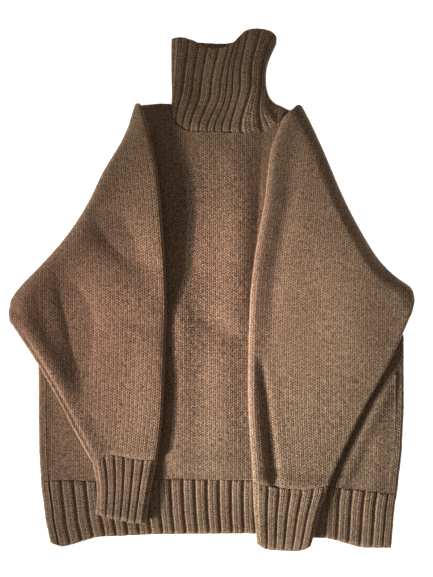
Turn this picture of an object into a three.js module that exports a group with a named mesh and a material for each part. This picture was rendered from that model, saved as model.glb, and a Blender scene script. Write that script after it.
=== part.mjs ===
// A chunky turtleneck sweater laid on its back, with both sleeves folded over the front.
// Millimetres. +X is to the right as the front is seen, +Y towards the collar and +Z up from the floor.
// The cloth is a wall of bulky wool knit. The back lies flat on the floor, the front lies on the back, and
// each sleeve leaves its raglan seam, turns over a fold beside the body and comes to lie on the front.
import * as THREE from "three";

// ---------------------------------------------------------------- sizes of the cloth
const WALL = 5; // plain knit, two yarns thick
const GROOVED = 3.6; // the wall in the grooves of the ribbing
const RIB = 2.2; // height of a rib over the grooves beside it
const SEAM = 0.4; // air between pieces that are sewn to each other
const SHUT = 0.6; // the least air between two layers that lie on each other
const PUFFED = 3.7; // the most air inside the cloth
const SIDE_AIR = 2; // air inside the rounded side of the body
const ARM_AIR = 1; // air inside a sleeve where it is folded
const CUFF_AIR = 0.9; // air inside a cuff
const PIVOT = 0.6; // the fold of a sleeve turns about a line this far over its upper layer
const SEAM_INSET = 13; // the back wraps round to the front by this much
const WOOL = new THREE.MeshStandardMaterial({ color: 0x846a56, roughness: 0.95, metalness: 0 });

// How finely the cloth is divided.
const BODY_SPANS = 16; // across the front
const BACK_SPANS = 8; // across the back
const ARM_SPANS = 12; // across a sleeve
const EDGE_SHARE = 0.0135; // the share of a raglan seam that the round edge of the sleeve takes at each end
const TURN = [45, 90, 135].map((degrees) => (degrees * Math.PI) / 180);
const FOLD_TURNS = [0, 30, 60, 90, 120, 150, 180];
const ALONG_SLEEVE = [0.03, 0.07, 0.12, 0.18, 0.25, 0.33, 0.41, 0.49, 0.57, 0.65, 0.73, 0.81, 0.89, 0.955,
  0.9988];

// ---------------------------------------------------------------- the garment as it lies
const UNDERARM_Y = -72;
// The body's left and right side at each height.
const BODY_SIDES = [
  { y: -412, left: -258, right: 288 },
  { y: -360, left: -268, right: 292 },
  { y: -310, left: -274, right: 299 },
  { y: -255, left: -277, right: 305 },
  { y: -190, left: -278, right: 308 },
  { y: -72, left: -278, right: 308 },
];
// The height of the hem's edge and of the seam where its ribs start, across the body.
const HEM = [
  { x: -262, edge: -404, start: -306 },
  { x: -240, edge: -411, start: -305 },
  { x: -178, edge: -395, start: -306 },
  { x: -82, edge: -391, start: -302 },
  { x: 62, edge: -390, start: -304 },
  { x: 180, edge: -397, start: -314 },
  { x: 245, edge: -413, start: -321 },
  { x: 289, edge: -413, start: -326 },
];
const HEM_RIBS = 28;
// The raglan seams, from the underarm to the neck, and the neckline of each panel from left to right.
const RAGLAN_LEFT = [[-265, -72], [-208, 34], [-138, 148], [-98, 238], [-87, 280], [-82, 300]];
const RAGLAN_RIGHT = [[295, -72], [236, 44], [172, 160], [136, 248], [126, 289]];
const NECK_FRONT = [
  [-82, 300], [-68, 291], [-61, 271], [-44, 257], [0, 253], [82, 253], [106, 268], [126, 289],
];
const NECK_BACK = [[-82, 300], [-20, 297], [60, 294], [126, 289]];

// The largest folds of the cloth. Each runs along a few points over a half width, and lifts the cloth by
// rise, or lets it sink where rise is below 0.
const FRONT_FOLDS = [
  { name: "hollow beside the left sleeve", along: [[-52, 236], [-50, 110], [-54, -6]], width: 24, rise: -3 },
  { name: "sink beside the right sleeve", along: [[62, 230], [44, 90], [32, -20]], width: 20, rise: -1.6 },
  { name: "slack across the belly", along: [[-34, -52], [6, -74], [48, -88]], width: 17, rise: -1.5 },
];

// Each sleeve: the line of its fold, and its two long edges at some sections from the fold to the wrist.
// crease is the folded top of the arm, and seam is the underarm seam. Across runs from crease to seam. The
// fold bulges towards out, and at the elbow it is round and bulges towards outAtSeam.
const SLEEVES = {
  left: {
    out: [-0.85, 0.53],
    outAtSeam: [-0.92, -0.38],
    fold: [[-112, 289], [-119, 266], [-133, 238], [-165, 182], [-190, 131], [-224, 79], [-268, 29],
      [-291, 4], [-313, -19]],
    sections: [
      { crease: [-112, 289], seam: [-313, -19] },
      { crease: [-102, 250], seam: [-319, -45] },
      { crease: [-90, 205], seam: [-309, -70] },
      { crease: [-78, 112], seam: [-284, -104] },
      { crease: [-71, 10], seam: [-266, -135] },
      { crease: [-72, -96], seam: [-243, -176] },
      { crease: [-77, -198], seam: [-214, -231] },
      { crease: [-86, -270], seam: [-190, -274] },
    ],
    creaseAir: 1.6,
    seamAir: 2.4,
    folds: [
      { name: "trough beside the seam", along: [[-288, -48], [-254, -98], [-218, -172], [-194, -236]],
        width: 10, rise: -3 },
      { name: "pull from the crease", along: [[-180, 68], [-146, 48], [-104, 18]], width: 17, rise: -2 },
      { name: "dip at the elbow", along: [[-262, -6], [-240, -46], [-222, -84]], width: 17, rise: -1.3 },
    ],
    wrist: [[-86, -270], [-122, -268], [-160, -262], [-190, -274]],
    cuff: [
      { crease: [-86, -270], seam: [-190, -274] },
      { crease: [-95, -312], seam: [-183, -312] },
      { crease: [-105, -371], seam: [-184, -356] },
    ],
    cuffEdge: [[-105, -371], [-130, -369], [-162, -362], [-184, -356]],
  },
  right: {
    out: [0.86, 0.51],
    outAtSeam: [0.95, -0.3],
    fold: [[132, 290], [144, 270], [168, 221], [200, 144], [226, 93], [258, 42], [285, 15], [311, -8]],
    sections: [
      { crease: [132, 290], seam: [311, -8] },
      { crease: [112, 270], seam: [318, -32] },
      { crease: [96, 226], seam: [309, -56] },
      { crease: [84, 144], seam: [290, -98] },
      { crease: [70, 62], seam: [268, -139] },
      { crease: [61, -30], seam: [247, -180] },
      { crease: [58, -130], seam: [223, -230] },
      { crease: [60, -225], seam: [203, -272] },
      { crease: [65, -304], seam: [186, -310] },
    ],
    creaseAir: 3.2,
    seamAir: 1.6,
    folds: [
      { name: "dip beside the roll", along: [[104, 190], [95, 140], [86, 92], [80, 40]], width: 9,
        rise: -2.4 },
      { name: "deep crease", along: [[71, -70], [77, -130], [82, -180], [87, -240], [94, -306]], width: 8,
        rise: -4 },
    ],
    wrist: [[65, -304], [94, -311], [142, -316], [186, -310]],
    cuff: [
      { crease: [65, -304], seam: [186, -310] },
      { crease: [67, -350], seam: [172, -354] },
      { crease: [72, -404], seam: [158, -408] },
    ],
    cuffEdge: [[72, -404], [84, -412], [112, -415], [142, -415], [158, -408]],
  },
};
const CUFF_RIBS = 6;

// The collar is an open tube that lies flat above the neck, with its mouth at the top. Its base takes a
// stretch of both necklines, and each of its layers has its own sides and top.
const COLLAR = {
  ribs: 12,
  baseOnNeck: [0.09, 0.985],
  sideAir: 1.6,
  middleAir: 3,
  front: {
    left: [[-65, 330]],
    right: [[113, 293], [102, 298], [94, 307], [89, 320], [87, 336], [88, 357], [94, 378]],
    top: [[-65, 404], [-48, 405], [-30, 400], [-10, 390], [9, 387], [29, 391], [41, 402], [54, 414],
      [72, 417], [92, 413], [106, 404]],
  },
  back: {
    left: [[-65, 350]],
    right: [[113, 295], [102, 300], [94, 308], [89, 320], [87, 336], [88, 357], [94, 378]],
    top: [[-65, 402], [-34, 399], [28, 397], [46, 403], [72, 412], [106, 404]],
  },
};

// ---------------------------------------------------------------- lines and blends
const clamp = (value, low, high) => Math.min(high, Math.max(low, value));
const mix = (a, b, share) => a + (b - a) * share;
const mixPoint = (a, b, share) => [mix(a[0], b[0], share), mix(a[1], b[1], share)];
const shift = (p, direction, far) => [p[0] + direction[0] * far, p[1] + direction[1] * far];
const shares = (count) => Array.from({ length: count + 1 }, (_, i) => i / count);

function ease(share) {
  const t = clamp(share, 0, 1);
  return t * t * (3 - 2 * t);
}

// A smooth line through some points, as a function of the share of its length.
function smoothLine(points) {
  const nodes = points.map(([x, y]) => new THREE.Vector3(x, y, 0));
  const curve = new THREE.CatmullRomCurve3(nodes, false, "centripetal");
  curve.arcLengthDivisions = 400;
  return (share) => {
    const p = curve.getPointAt(clamp(share, 0, 1));
    return [p.x, p.y];
  };
}

// The same line with straight spans between evenly spaced points.
function brokenLine(line, spans) {
  const points = shares(spans).map(line);
  return (share) => {
    const at = clamp(share, 0, 1) * spans;
    const i = Math.min(spans - 1, Math.floor(at));
    return mixPoint(points[i], points[i + 1], at - i);
  };
}

// A line that runs beside another, to the left of its direction where far is above 0.
function beside(line, far) {
  return (share) => {
    const [from, to] = [line(Math.max(0, share - 0.02)), line(Math.min(1, share + 0.02))];
    const length = Math.hypot(to[0] - from[0], to[1] - from[1]);
    return shift(line(share), [(from[1] - to[1]) / length, (to[0] - from[0]) / length], far);
  };
}

function lineLength(line) {
  const points = shares(60).map(line);
  return points.slice(1).reduce((sum, p, i) => {
    return sum + Math.hypot(p[0] - points[i][0], p[1] - points[i][1]);
  }, 0);
}

// One column of a table, read smoothly against another.
function readTable(rows, by, column) {
  return (at) => {
    const above = rows.findIndex((row) => row[by] >= at);
    const i = clamp(above < 0 ? rows.length - 1 : above, 1, rows.length - 1);
    const share = clamp((at - rows[i - 1][by]) / (rows[i][by] - rows[i - 1][by]), 0, 1);
    return mix(rows[i - 1][column], rows[i][column], (share + ease(share)) / 2);
  };
}

// A sheet stretched between four lines: base and top run across it, left and right run up its sides.
function stretched(base, top, left, right) {
  return (u, v) => {
    const across = mixPoint(base(u), top(u), v);
    const up = mixPoint(left(v), right(v), u);
    const flat = mixPoint(mixPoint(base(0), base(1), u), mixPoint(top(0), top(1), u), v);
    return [across[0] + up[0] - flat[0], across[1] + up[1] - flat[1]];
  };
}

// How much one fold moves the cloth at a place: full along its line, and dying away beside it and at
// its ends.
function foldAt({ along, width, rise }, x, y) {
  const spans = along.length - 1;
  let most = 0;
  for (let i = 0; i < spans; i++) {
    const [[ax, ay], [bx, by]] = [along[i], along[i + 1]];
    const squared = (bx - ax) ** 2 + (by - ay) ** 2;
    const share = clamp(((x - ax) * (bx - ax) + (y - ay) * (by - ay)) / squared, 0, 1);
    const far = Math.hypot(x - mix(ax, bx, share), y - mix(ay, by, share));
    const ends = Math.sin((Math.PI * (i + share + 0.35)) / (spans + 0.7)) ** 0.7;
    most = Math.max(most, Math.exp(-((far / width) ** 2)) * ends);
  }
  return most * rise;
}

const foldsAt = (folds, x, y) => folds.reduce((sum, fold) => sum + foldAt(fold, x, y), 0);

// ---------------------------------------------------------------- how high the body's front lies
const sideLeft = readTable(BODY_SIDES, "y", "left");
const sideRight = readTable(BODY_SIDES, "y", "right");
const hemEdge = readTable(HEM, "x", "edge");
const hemStart = readTable(HEM, "x", "start");
const raglanLeft = smoothLine(RAGLAN_LEFT);
const raglanRight = smoothLine(RAGLAN_RIGHT);
const neckFront = brokenLine(smoothLine(NECK_FRONT), BODY_SPANS);
const neckBack = brokenLine(smoothLine(NECK_BACK), BACK_SPANS);

// Where the front panel ends on one side at a height: at the side seam, and above it at the raglan seam.
function frontSide(y, side, inset, raglan) {
  if (y <= UNDERARM_Y) return side(y) + inset;
  let low = 0;
  let high = 1;
  for (let step = 0; step < 16; step++) {
    const middle = (low + high) / 2;
    if (raglan(middle)[1] < y) low = middle;
    else high = middle;
  }
  return raglan(low)[0];
}

// The air between back and front where nothing sinks: least at the seams, most in the middle.
function bodyAir(x, y) {
  const fromLeft = x - frontSide(y, sideLeft, SEAM_INSET, raglanLeft);
  const fromRight = frontSide(y, sideRight, -SEAM_INSET, raglanRight) - x;
  const atSeams = mix(SIDE_AIR, ARM_AIR, ease((y - UNDERARM_Y + 40) / 60));
  const inMiddle = PUFFED * mix(0.55, 1, ease((y - hemEdge(x)) / 150));
  return mix(atSeams, inMiddle, ease(Math.min(fromLeft, fromRight) / 80));
}

const frontAir = (x, y) => clamp(bodyAir(x, y) + foldsAt(FRONT_FOLDS, x, y), SHUT, PUFFED);

// The lowest that a folded sleeve can lie. It clears the crowns of the hem's ribs, and droops past the hem.
function sleeveRest(x, y) {
  const edge = hemEdge(x);
  const overHem = (GROOVED + RIB - WALL) * ease((hemStart(x) + 22 - y) / 20);
  return 2 * WALL + bodyAir(x, Math.max(y, edge)) + overHem + 2 * PIVOT - Math.max(0, edge - y) * 0.2;
}

// ---------------------------------------------------------------- closed walls of cloth
// A mesh from an outer and an inner sheet of points in rows. A tube's rows close on themselves. A sheet can
// leave out some of its cells, and every open edge is closed with a rim.
function clothWall(name, outer, inner, { isTube = false, holds = () => true } = {}) {
  const rows = outer.length;
  const columns = outer[0].length;
  const spans = isTube ? columns : columns - 1;
  const positions = [outer, inner].flat(2);
  const isIn = (i, j) => i >= 0 && i < rows - 1 && (isTube || (j >= 0 && j < spans)) && holds(i, j);
  const outerAt = ([i, j]) => i * columns + (j % columns);
  const innerAt = (corner) => rows * columns + outerAt(corner);
  const index = [];
  const quad = (a, b, c, d) => index.push(a, b, c, a, c, d);
  for (let i = 0; i < rows - 1; i++) {
    for (let j = 0; j < spans; j++) {
      if (!isIn(i, j)) continue;
      const corners = [[i, j], [i, j + 1], [i + 1, j + 1], [i + 1, j]];
      const beside = [isIn(i - 1, j), isIn(i, j + 1), isIn(i + 1, j), isIn(i, j - 1)];
      quad(...corners.map(outerAt));
      quad(innerAt(corners[0]), innerAt(corners[3]), innerAt(corners[2]), innerAt(corners[1]));
      beside.forEach((joined, k) => {
        const [a, b] = [corners[k], corners[(k + 1) % 4]];
        if (!joined) quad(innerAt(a), innerAt(b), outerAt(b), outerAt(a));
      });
    }
  }
  const geometry = new THREE.BufferGeometry();
  geometry.setAttribute("position", new THREE.Float32BufferAttribute(positions.flat(), 3));
  geometry.setIndex(facingOut(positions, index));
  geometry.computeVertexNormals();
  const mesh = new THREE.Mesh(geometry, WOOL);
  mesh.name = name;
  return mesh;
}

// The same triangles, turned round if they enclose less than nothing.
function facingOut(positions, index) {
  const at = (i) => new THREE.Vector3(...positions[i]);
  let volume = 0;
  for (let i = 0; i < index.length; i += 3) {
    volume += at(index[i]).dot(at(index[i + 1]).cross(at(index[i + 2])));
  }
  return volume > 0 ? index : index.reverse();
}

// Places across some ribs as shares, with how high the rib stands at each.
function ribStops(ribs) {
  const profile = [{ at: 0, high: 0 }, { at: 0.2, high: 0.85 }, { at: 0.5, high: 1 }, { at: 0.8, high: 0.85 }];
  const stops = shares(ribs).slice(0, -1).flatMap((start) => profile.map(({ at, high }) => (
    { share: start + at / ribs, high })));
  return [...stops, { share: 1, high: 0 }];
}

// ---------------------------------------------------------------- front and back
const seamRows = [0, ...shares(12).map((share) => mix(EDGE_SHARE, 1 - EDGE_SHARE, share)), 1];
const acrossUnderarms = (u) => [
  mix(sideLeft(UNDERARM_Y) + SEAM_INSET, sideRight(UNDERARM_Y) - SEAM_INSET, u), UNDERARM_Y];

// A row of a panel between two lines that cross it: across is from 0 at one side seam to 1 at the other.
function rowBetween(low, high, share) {
  const lowSide = mix(low(sideLeft(-300)), high(sideLeft(-300)), share);
  const highSide = mix(low(sideRight(-300)), high(sideRight(-300)), share);
  const ends = [sideLeft(lowSide), sideRight(highSide)];
  return { ends, heightAt: (x) => mix(low(x), high(x), share) };
}

// Points where the back wraps round its sides: how far in from the side, and how high, outside and inside.
function wrapStops(air) {
  const radius = WALL + air / 2;
  const flat = { out: 2 * WALL + air, inner: WALL + air };
  return [
    { in: SEAM_INSET, innerIn: SEAM_INSET, ...flat },
    { in: radius, innerIn: radius, ...flat },
    ...TURN.map((angle) => ({
      in: radius * (1 - Math.sin(angle)),
      innerIn: radius - (air / 2) * Math.sin(angle),
      out: radius * (1 + Math.cos(angle)),
      inner: radius + (air / 2) * Math.cos(angle),
    })),
    { in: radius, innerIn: radius, out: 0, inner: WALL },
  ];
}

// One row of the back, from the side seam on the front, round the side, across, and round the other side.
function backRow({ ends, heightAt }) {
  const outer = [];
  const inner = [];
  const add = (x, innerX, high, innerHigh) => {
    outer.push([x, heightAt(x), high]);
    inner.push([innerX, heightAt(innerX), innerHigh]);
  };
  const [left, right] = ends;
  const middle = heightAt(left);
  for (const stop of wrapStops(bodyAir(left + SEAM_INSET, middle))) {
    add(left + stop.in, left + stop.innerIn, stop.out, stop.inner);
  }
  for (const u of shares(BACK_SPANS)) {
    const x = mix(left + SEAM_INSET, right - SEAM_INSET, u);
    add(x, x, 0, WALL);
  }
  for (const stop of wrapStops(bodyAir(right - SEAM_INSET, heightAt(right))).reverse()) {
    add(right - stop.in, right - stop.innerIn, stop.out, stop.inner);
  }
  return { outer, inner };
}

const bodyRows = shares(8).map((share) => rowBetween((x) => hemStart(x) + 2 * SEAM, () => UNDERARM_Y, share));
const hemRows = shares(3).map((share) => rowBetween(hemEdge, hemStart, share));

function makeBack() {
  const rows = bodyRows.map(backRow);
  const flat = stretched(acrossUnderarms, neckBack, raglanLeft, raglanRight);
  const wrapped = wrapStops(1).length;
  for (const v of seamRows.slice(1)) {
    const row = shares(BACK_SPANS).map((u) => flat(u, v));
    const padded = [...Array(wrapped).fill(row[0]), ...row, ...Array(wrapped).fill(row[BACK_SPANS])];
    rows.push({ outer: padded.map((p) => [...p, 0]), inner: padded.map((p) => [...p, WALL]) });
  }
  const holds = (i, j) => i < bodyRows.length - 1 || (j >= wrapped && j < wrapped + BACK_SPANS);
  return clothWall("body_back", rows.map((row) => row.outer), rows.map((row) => row.inner), { holds });
}

function makeFront() {
  const rows = bodyRows.map(({ ends, heightAt }) => shares(BODY_SPANS).map((u) => {
    const x = mix(ends[0] + SEAM_INSET + SEAM, ends[1] - SEAM_INSET - SEAM, u);
    return [x, heightAt(x)];
  }));
  const yoke = stretched(acrossUnderarms, neckFront, raglanLeft, raglanRight);
  for (const v of seamRows.slice(1)) rows.push(shares(BODY_SPANS).map((u) => yoke(u, v)));
  const lifted = (high) => rows.map((row) => row.map(([x, y]) => [x, y, frontAir(x, y) + high]));
  return clothWall("body_front", lifted(2 * WALL), lifted(WALL));
}

function makeHemBack() {
  const rows = hemRows.map(backRow);
  return clothWall("hem_back", rows.map((row) => row.outer), rows.map((row) => row.inner));
}

function makeHemFront() {
  const points = hemRows.map(({ ends, heightAt }) => ribStops(HEM_RIBS).map(({ share, high }) => {
    const x = mix(ends[0] + SEAM_INSET + SEAM, ends[1] - SEAM_INSET - SEAM, share);
    return { x, y: heightAt(x), high };
  }));
  const outer = points.map((row) => row.map(({ x, y, high }) => (
    [x, y, WALL + bodyAir(x, y) + GROOVED + RIB * high])));
  const inner = points.map((row) => row.map(({ x, y }) => [x, y, WALL + bodyAir(x, y)]));
  return clothWall("hem_front", outer, inner);
}

// ---------------------------------------------------------------- flattened tubes: sleeves, cuffs and collar
// A ring of a flattened tube: its upper layer, a round edge, its lower layer and the other round edge.
// Each point has u, its share across; high, its height over the lower layer; and turn, from 0 on the upper
// layer to 1 on the lower one. Each stop on the upper layer gives u, the air under it and its own wall.
function tubeRing(length, upper, lower, startAir, endAir) {
  const outer = [];
  const inner = [];
  const add = (u, high, innerU, innerHigh, turn) => {
    outer.push({ u, high, turn });
    inner.push({ u: innerU, high: innerHigh, turn });
  };
  const addEdge = (air, angles, uAt) => {
    for (const angle of angles) {
      const radius = WALL + air / 2;
      const far = (radius * (1 - Math.sin(angle))) / length;
      const innerFar = (radius - (air / 2) * Math.sin(angle)) / length;
      const highs = [radius * (1 + Math.cos(angle)), radius + (air / 2) * Math.cos(angle)];
      add(uAt(far), highs[0], uAt(innerFar), highs[1], angle / Math.PI);
    }
  };
  for (const { u, air, wall } of upper) add(u, WALL + air + wall, u, WALL + air, 0);
  addEdge(endAir, TURN, (far) => 1 - far);
  for (const u of [...lower].reverse()) add(u, 0, u, WALL, 1);
  addEdge(startAir, [...TURN].reverse(), (far) => far);
  return { outer, inner };
}

// Sets rings of a tube in space. place gives a point for a share across, a height and a turn.
function makeTube(name, rings) {
  const set = (side) => rings.map(({ ring, place }) => {
    return ring[side].map(({ u, high, turn }) => place(u, high, turn));
  });
  return clothWall(name, set("outer"), set("inner"), { isTube: true });
}

// Shares across a sleeve of some width, closer together towards its two round edges.
function sleeveStops(width, startAir, endAir) {
  const start = [0, 8, 18].map((far) => (WALL + startAir / 2 + far) / width);
  const end = [18, 8, 0].map((far) => 1 - (WALL + endAir / 2 + far) / width);
  const between = shares(ARM_SPANS - 4).slice(1, -1).map((share) => mix(start[2], end[0], share));
  return [...start, ...between, ...end];
}

// The lines of one arm: the folded sleeve as it lies on the front, from the fold to the wrist.
function armLines(arm) {
  const fold = smoothLine(arm.fold);
  const wrist = smoothLine(arm.wrist);
  const crease = smoothLine(arm.sections.map((row) => row.crease));
  const seam = smoothLine(arm.sections.map((row) => row.seam));
  return { fold, wrist, onFront: stretched(fold, wrist, crease, seam) };
}

function makeSleeve(name, arm, raglan, outwards) {
  const { fold, onFront } = armLines(arm);
  const seamEdge = beside((share) => raglan(1 - share), outwards * SEAM);
  const stub = shares(ARM_SPANS).map((share) => (
    { u: mix(EDGE_SHARE, 1 - EDGE_SHARE, share), air: ARM_AIR, wall: WALL }));
  const across = (width, airAt, edgeAirs) => {
    const stops = sleeveStops(width, ...edgeAirs);
    return tubeRing(width, stops.map((u) => ({ u, air: airAt(u), wall: WALL })), stops, ...edgeAirs);
  };
  const raglanWidth = lineLength(seamEdge);
  const rings = [{
    ring: tubeRing(raglanWidth, stub, stub.map((stop) => stop.u), ARM_AIR, ARM_AIR),
    place: (u, high) => [...seamEdge(u), 2 * WALL + ARM_AIR - high],
  }];
  const foldRing = across(lineLength(fold), () => ARM_AIR, [ARM_AIR, ARM_AIR]);
  for (const turned of FOLD_TURNS) {
    const angle = (turned * Math.PI) / 180;
    rings.push({
      ring: foldRing,
      place: (u, high) => {
        const far = PIVOT + high;
        const bulge = mixPoint(arm.out, arm.outAtSeam, ease((u - 0.86) / 0.14));
        const [x, y] = shift(fold(u), bulge, far * Math.sin(angle));
        return [x, y, 2 * WALL + ARM_AIR + PIVOT - far * Math.cos(angle)];
      },
    });
  }
  for (const v of ALONG_SLEEVE) {
    const grown = ease(v / 0.14);
    const edgeAirs = [mix(ARM_AIR, arm.creaseAir, grown), mix(ARM_AIR, arm.seamAir, grown)];
    const width = lineLength((u) => onFront(u, v));
    const airAt = (u) => {
      const edge = u < 0.5 ? edgeAirs[0] : edgeAirs[1];
      const inMiddle = ease((Math.min(u, 1 - u) * width - WALL) / 34);
      const rest = mix(edge, mix(ARM_AIR, PUFFED - 0.3, grown), inMiddle);
      return clamp(rest + foldsAt(arm.folds, ...onFront(u, v)) * grown, SHUT, PUFFED);
    };
    rings.push({ ring: across(width, airAt, edgeAirs), place: onRest(onFront, v) });
  }
  return makeTube(name, rings);
}

// Sets a point of a tube that lies on the front.
const onRest = (sheet, v) => (u, high) => {
  const [x, y] = sheet(u, v);
  return [x, y, sleeveRest(x, y) + high];
};

// Stops on the upper layer of a ribbed tube, between its round edges.
function ribbedUpper(ribs, width, startAir, endAir, airAt) {
  const from = (WALL + startAir / 2) / width;
  const to = 1 - (WALL + endAir / 2) / width;
  return ribStops(ribs).map(({ share, high }) => {
    const u = mix(from, to, share);
    return { u, air: airAt(u), wall: GROOVED + RIB * high };
  });
}

function makeCuff(name, arm) {
  const start = armLines(arm).wrist;
  const crease = smoothLine(arm.cuff.map((row) => row.crease));
  const seam = smoothLine(arm.cuff.map((row) => row.seam));
  const sheet = stretched(start, smoothLine(arm.cuffEdge), crease, seam);
  return makeTube(name, shares(5).map((share) => {
    const v = mix(0.006, 1, share);
    const width = lineLength((u) => sheet(u, v));
    const upper = ribbedUpper(CUFF_RIBS, width, CUFF_AIR, CUFF_AIR, () => CUFF_AIR);
    const lower = shares(4).map((part) => mix(upper[0].u, upper[upper.length - 1].u, part));
    return { ring: tubeRing(width, upper, lower, CUFF_AIR, CUFF_AIR), place: onRest(sheet, v) };
  }));
}

function makeCollar() {
  const [from, to] = COLLAR.baseOnNeck;
  const baseOn = (neck) => beside((share) => neck(mix(from, to, share)), 2 * SEAM);
  const base = { front: baseOn(neckFront), back: baseOn(neckBack) };
  const sheetOf = (layer) => {
    const top = smoothLine(COLLAR[layer].top);
    const left = smoothLine([base[layer](0), ...COLLAR[layer].left, top(0)]);
    const right = smoothLine([base[layer](1), ...COLLAR[layer].right, top(1)]);
    return stretched(base[layer], top, left, right);
  };
  const front = sheetOf("front");
  const back = sheetOf("back");
  return makeTube("collar", shares(9).map((v) => {
    const width = lineLength((u) => front(u, v));
    const airAt = (u) => {
      const [x, y] = front(u, v);
      const above = mix(COLLAR.sideAir, COLLAR.middleAir, ease(Math.min(u, 1 - u) * 5));
      return mix(bodyAir(x, y), above, ease(v * 3));
    };
    const edges = [airAt(0), airAt(1)];
    const upper = ribbedUpper(COLLAR.ribs, width, ...edges, airAt);
    const lower = shares(BACK_SPANS).map((part) => mix(upper[0].u, upper[upper.length - 1].u, part));
    const place = (u, high, turn) => [...mixPoint(front(u, v), back(u, v), ease(turn * 2)), high];
    return { ring: tubeRing(width, upper, lower, ...edges), place };
  }));
}

// ---------------------------------------------------------------- the sweater
const sweater = new THREE.Group();
sweater.name = "turtleneck_sweater";
sweater.add(makeBack(), makeFront(), makeHemBack(), makeHemFront());
sweater.add(makeSleeve("sleeve_left", SLEEVES.left, raglanLeft, -1));
sweater.add(makeSleeve("sleeve_right", SLEEVES.right, raglanRight, 1));
sweater.add(makeCuff("cuff_left", SLEEVES.left), makeCuff("cuff_right", SLEEVES.right));
sweater.add(makeCollar());

const box = new THREE.Box3().setFromObject(sweater);
const middle = box.getCenter(new THREE.Vector3());
sweater.position.set(-middle.x, -middle.y, -box.min.z);
sweater.updateMatrixWorld(true);

export default sweater;
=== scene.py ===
"""A chunky hand-knitted turtleneck sweater, laid on its back with both sleeves folded over its front."""
import math

import bmesh
import bpy
import numpy as np
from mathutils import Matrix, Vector
from mathutils.geometry import delaunay_2d_cdt


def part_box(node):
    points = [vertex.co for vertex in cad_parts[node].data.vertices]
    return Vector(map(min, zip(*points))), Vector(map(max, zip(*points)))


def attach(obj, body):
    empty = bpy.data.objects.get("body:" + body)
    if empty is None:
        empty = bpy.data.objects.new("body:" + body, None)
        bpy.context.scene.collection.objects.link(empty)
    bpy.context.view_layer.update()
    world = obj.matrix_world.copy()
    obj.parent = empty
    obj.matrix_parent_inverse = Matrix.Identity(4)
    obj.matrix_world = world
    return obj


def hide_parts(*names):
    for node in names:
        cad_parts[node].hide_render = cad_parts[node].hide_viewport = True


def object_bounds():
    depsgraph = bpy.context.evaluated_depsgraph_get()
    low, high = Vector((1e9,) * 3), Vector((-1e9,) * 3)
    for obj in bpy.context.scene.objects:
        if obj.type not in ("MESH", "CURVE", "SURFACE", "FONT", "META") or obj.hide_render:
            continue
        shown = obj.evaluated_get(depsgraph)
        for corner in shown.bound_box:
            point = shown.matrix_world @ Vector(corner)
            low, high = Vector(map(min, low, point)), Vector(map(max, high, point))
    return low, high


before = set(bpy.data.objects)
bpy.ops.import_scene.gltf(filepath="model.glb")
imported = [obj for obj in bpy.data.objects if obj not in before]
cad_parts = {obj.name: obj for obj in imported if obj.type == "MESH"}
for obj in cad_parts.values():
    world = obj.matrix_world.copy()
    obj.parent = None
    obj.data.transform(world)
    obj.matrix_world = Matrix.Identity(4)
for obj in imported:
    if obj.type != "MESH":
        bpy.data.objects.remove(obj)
cad_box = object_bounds()

# ------------------------------------------------------------------------------------------
# The camera, the floor and the light. The sweater lies on a pale floor and is seen from
# straight above. A low, soft window light comes over its lower left corner, and the room is dim.
# ------------------------------------------------------------------------------------------
middle = (cad_box[0] + cad_box[1]) / 2
CAMERA_HEIGHT = 1.7
VIEW_LENGTH, SEEN_AT = 0.9235, 0.012  # what the camera sees along Y, and how high on the sweater that is
SENSOR = 24

camera_data = bpy.data.cameras.new("camera")
camera_data.sensor_fit = "VERTICAL"
camera_data.sensor_height = SENSOR
camera_data.lens = SENSOR * (CAMERA_HEIGHT - SEEN_AT) / VIEW_LENGTH
camera = bpy.data.objects.new("camera", camera_data)
camera.location = (middle.x + 0.0085, middle.y + 0.002, CAMERA_HEIGHT)
bpy.context.collection.objects.link(camera)
bpy.context.scene.camera = camera

FLOOR_REACH = 4  # from its middle to its sides
UNDER_SWEATER = 0.0004  # how far the floor lies under it
floor_mesh = bpy.data.meshes.new("floor")
floor_mesh.from_pydata(
    [(FLOOR_REACH * x, FLOOR_REACH * y, 0) for x, y in ((-1, -1), (1, -1), (1, 1), (-1, 1))], [], [(0, 1, 2, 3)])
floor = bpy.data.objects.new("floor", floor_mesh)
floor.location.z = cad_box[0].z - UNDER_SWEATER
floor_paint = bpy.data.materials.new("pale_floor")
floor_paint.use_nodes = True
floor_paint.node_tree.nodes["Principled BSDF"].inputs["Base Color"].default_value = (0.84, 0.83, 0.81, 1)
floor_paint.node_tree.nodes["Principled BSDF"].inputs["Roughness"].default_value = 0.9
floor.data.materials.append(floor_paint)
bpy.context.collection.objects.link(floor)


def lamp(kind, name, aim, bearing, height, far, power, colour, **settings):
    """A light that looks at a spot on the floor from a bearing, an angle over the floor and a distance."""
    data = bpy.data.lights.new(name, kind)
    data.energy, data.color = power, colour
    for key, value in settings.items():
        setattr(data, key, value)
    made = bpy.data.objects.new(name, data)
    around, over = math.radians(bearing), math.radians(height)
    way = Vector((math.cos(around) * math.cos(over), math.sin(around) * math.cos(over), math.sin(over)))
    made.location = Vector(aim) + far * way
    made.rotation_euler = (-way).to_track_quat("-Z", "Y").to_euler()
    bpy.context.collection.objects.link(made)
    return made


WINDOW_FAR = 7.0
WINDOW_SHAPE = 0.75  # how long its patch on the floor is, for its width
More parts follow.
